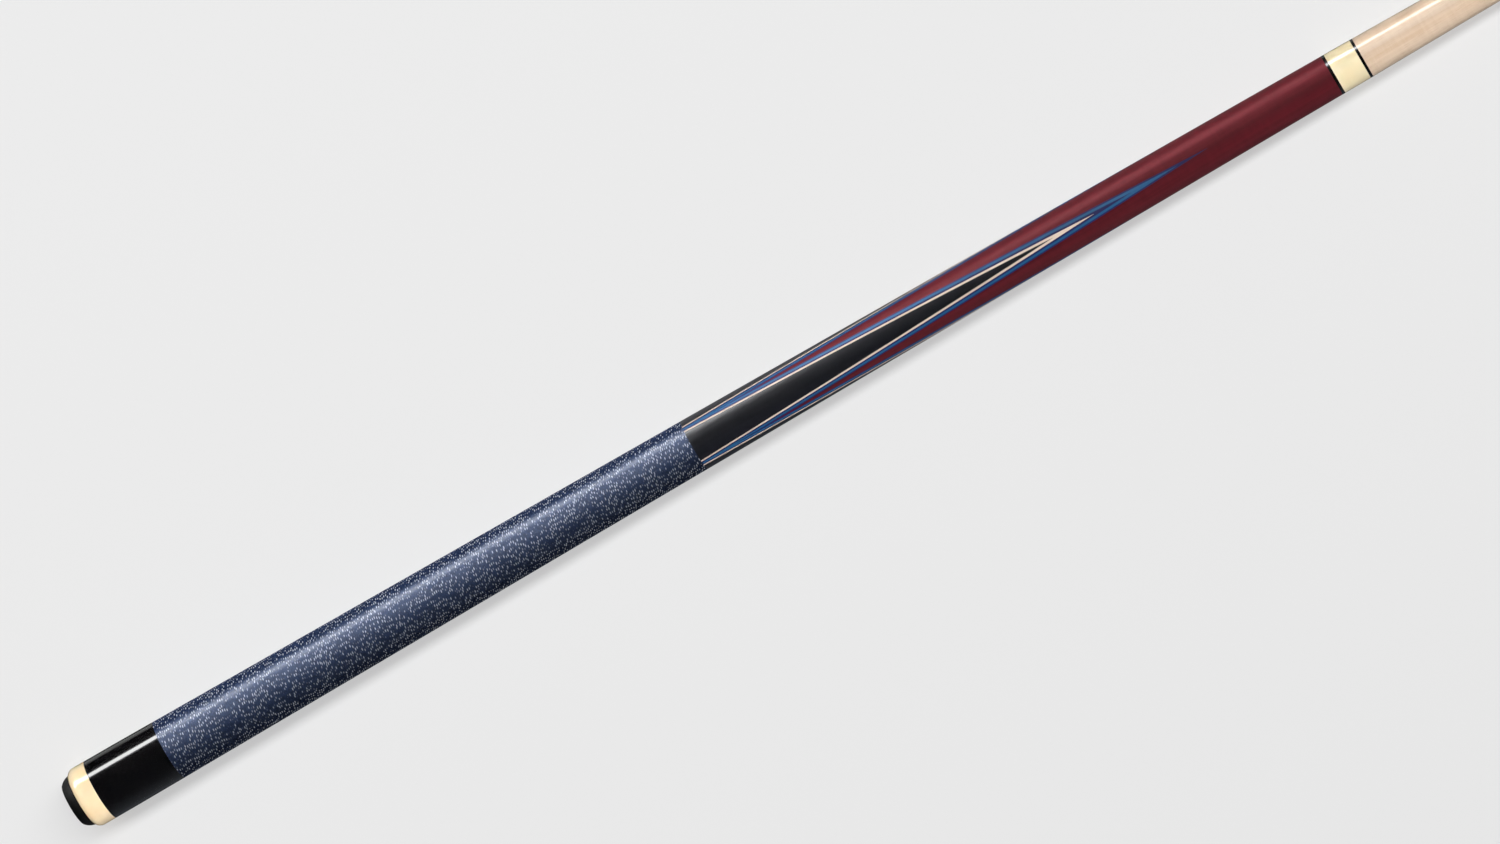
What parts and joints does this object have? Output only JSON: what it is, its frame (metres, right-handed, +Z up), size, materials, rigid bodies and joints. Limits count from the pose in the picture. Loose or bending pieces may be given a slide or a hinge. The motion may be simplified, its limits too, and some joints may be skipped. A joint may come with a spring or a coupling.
{
  "type": "pool cue",
  "caption": "Two-piece pool cue: stained forearm with inlaid veneered points, linen wrap, ivory-coloured joint collar, rubber bumper and screw-off maple shaft.",
  "frame": {"origin": "centre of the bumper's end face, on the cue's axis", "axes": "+X along the axis from the bumper to the tip, +Z up through the middle of the upper inlaid point"},
  "size_m": [1.4732, 0.0324, 0.0324],
  "materials": {
    "bumper_rubber": "matte moulded rubber",
    "steel": "turned",
    "black_steel": "black oxide",
    "ivory_resin": "polished",
    "black_lacquer": "polished",
    "handle_wood": "unfinished",
    "linen": "pressed irish linen, navy with white flecks",
    "stained_maple": "stained, satin lacquer",
    "black_resin": "polished",
    "brass": "machined",
    "maple": "sealed, satin",
    "white_resin": "satin",
    "fibre": "vulcanised fibre",
    "tip_leather": "pressed layers",
    "navy_veneer": "dyed, satin lacquer",
    "blue_veneer": "dyed, satin lacquer",
    "cream_veneer": "satin lacquer",
    "ebony": "stained black, satin lacquer"
  },
  "bodies": {
    "butt": {"butt_cap": "ivory_resin", "butt_sleeve": "black_lacquer", "handle_core": "handle_wood", "wrap": "linen", "weight_bolt": "steel", "a_joint_stud": "steel", "forearm": "stained_maple", "joint_ring": "black_resin", "joint_collar": "ivory_resin", "joint_pin": "steel", "point_1_navy_outer_veneer": "navy_veneer", "point_1_blue_veneer": "blue_veneer", "point_1_navy_inner_veneer": "navy_veneer", "point_1_cream_veneer": "cream_veneer", "point_1_black": "ebony", "point_2_navy_outer_veneer": "navy_veneer", "point_2_blue_veneer": "blue_veneer", "point_2_navy_inner_veneer": "navy_veneer", "point_2_cream_veneer": "cream_veneer", "point_2_black": "ebony", "point_3_navy_outer_veneer": "navy_veneer", "point_3_blue_veneer": "blue_veneer", "point_3_navy_inner_veneer": "navy_veneer", "point_3_cream_veneer": "cream_veneer", "point_3_black": "ebony", "point_4_navy_outer_veneer": "navy_veneer", "point_4_blue_veneer": "blue_veneer", "point_4_navy_inner_veneer": "navy_veneer", "point_4_cream_veneer": "cream_veneer", "point_4_black": "ebony"},
    "joint_slip_ring": {"shaft_ring": "black_resin"},
    "shaft": {"shaft": "maple", "shaft_insert": "brass", "ferrule": "white_resin", "tip_pad": "fibre", "tip": "tip_leather"},
    "bumper": {"bumper": "bumper_rubber", "bumper_washer": "steel"},
    "bumper_screw": {"bumper_screw": "black_steel"}
  },
  "joints": [
    {"name": "shaft_travel", "type": "slide", "parent": "butt", "child": "joint_slip_ring", "axis": [1, 0, 0], "range_m": [0, 0.03048]},
    {"name": "shaft_turn", "type": "hinge", "parent": "joint_slip_ring", "child": "shaft", "pos_m": [0.743, 0, 0], "axis": [1, 0, 0], "range_deg": [0, 4321]},
    {"name": "bumper_travel", "type": "slide", "parent": "butt", "child": "bumper", "axis": [-1, 0, 0], "range_m": [0, 0.015]},
    {"name": "bumper_screw_turn", "type": "hinge", "parent": "bumper", "child": "bumper_screw", "pos_m": [0, 0, 0], "axis": [-1, 0, 0], "range_deg": [0, 5401]}
  ],
  "couplings": [
    {"joint": "shaft_turn", "follows": "shaft_travel", "rad_per_m": 2473.7},
    {"joint": "bumper_screw_turn", "follows": "bumper_travel", "rad_per_m": 6283.2}
  ]
}
